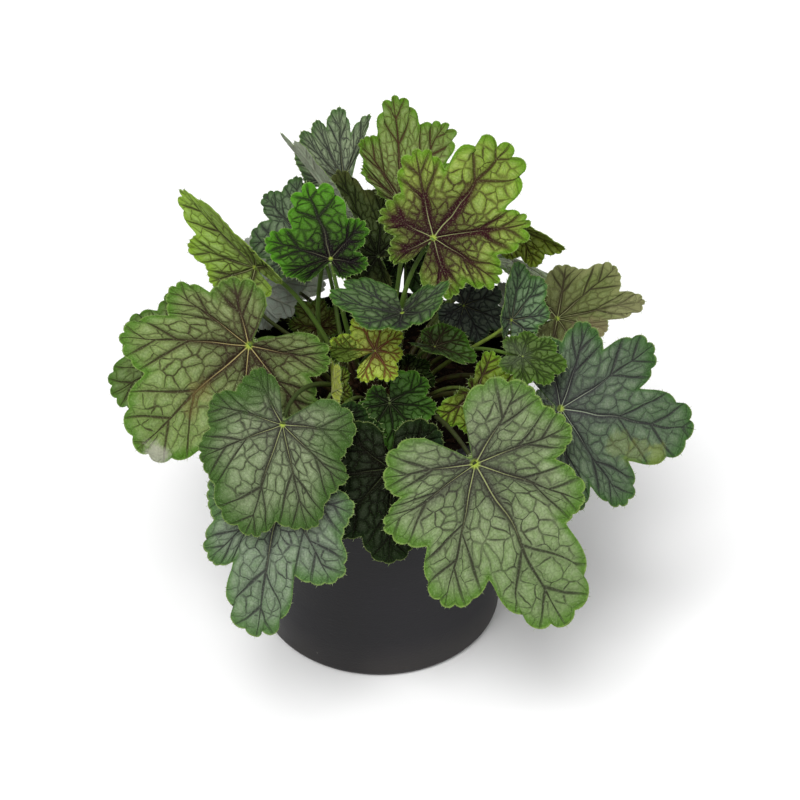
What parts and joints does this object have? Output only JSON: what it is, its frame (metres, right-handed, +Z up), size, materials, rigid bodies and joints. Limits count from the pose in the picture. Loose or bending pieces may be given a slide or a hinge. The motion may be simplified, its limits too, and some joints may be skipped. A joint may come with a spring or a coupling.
{
  "type": "potted heuchera plant",
  "caption": "Leafy heuchera perennial in a round thin-walled nursery pot: lobed, toothed, dark-veined leaves on slim petioles rising from a crown in potting soil.",
  "frame": {"origin": "centre of the pot's flat underside, on the pot's axis", "axes": "+Z up along the pot's axis; -Y towards the viewer, where the two largest front leaves hang over the rim"},
  "size_m": [0.2892, 0.2563, 0.2632],
  "materials": {
    "pot": "matte black moulded plastic",
    "soil": "moist potting soil with bark crumbs",
    "crown": "woody plant crown",
    "leaf_silver": "soft leaf with dark veins",
    "leaf_green": "soft leaf with dark veins",
    "leaf_lime": "soft leaf with dark veins",
    "leaf_shade": "soft leaf with dark veins",
    "leaf_grey": "soft leaf with dark veins"
  },
  "bodies": {
    "root": {"pot": "pot", "soil": "soil", "crown": "crown", "leaf_front_right": "leaf_silver", "leaf_front_left": "leaf_silver", "leaf_low_left": "leaf_grey", "leaf_left_large": "leaf_green", "leaf_right_large": "leaf_grey", "leaf_back_right": "leaf_grey", "leaf_far_left": "leaf_green", "leaf_top_right": "leaf_lime", "leaf_top": "leaf_green", "leaf_top_left": "leaf_grey", "leaf_back_left": "leaf_grey", "leaf_back_blade": "leaf_grey", "leaf_left_folded": "leaf_green", "leaf_centre_left": "leaf_green", "leaf_right_edge": "leaf_green", "leaf_stalked_right": "leaf_shade", "leaf_centre_fold": "leaf_shade", "leaf_middle_yellow": "leaf_lime", "leaf_red_centre": "leaf_shade", "leaf_low_centre": "leaf_shade", "leaf_folded_right": "leaf_green", "leaf_right_yellow": "leaf_lime", "leaf_right_small": "leaf_shade", "leaf_grey_shadow": "leaf_grey", "leaf_front_dark": "leaf_shade", "leaf_behind_front": "leaf_shade", "leaf_shade_back": "leaf_lime", "leaf_thin_edge": "leaf_lime", "leaf_back_dark": "leaf_shade", "leaf_under_left": "leaf_grey", "leaf_rear_left": "leaf_silver", "leaf_rear_centre": "leaf_silver", "leaf_rear_right": "leaf_silver", "leaf_rear_low_left": "leaf_grey", "leaf_rear_high": "leaf_green", "leaf_rear_low_right": "leaf_grey", "leaf_side_left": "leaf_grey", "leaf_side_right": "leaf_grey"}
  },
  "joints": []
}
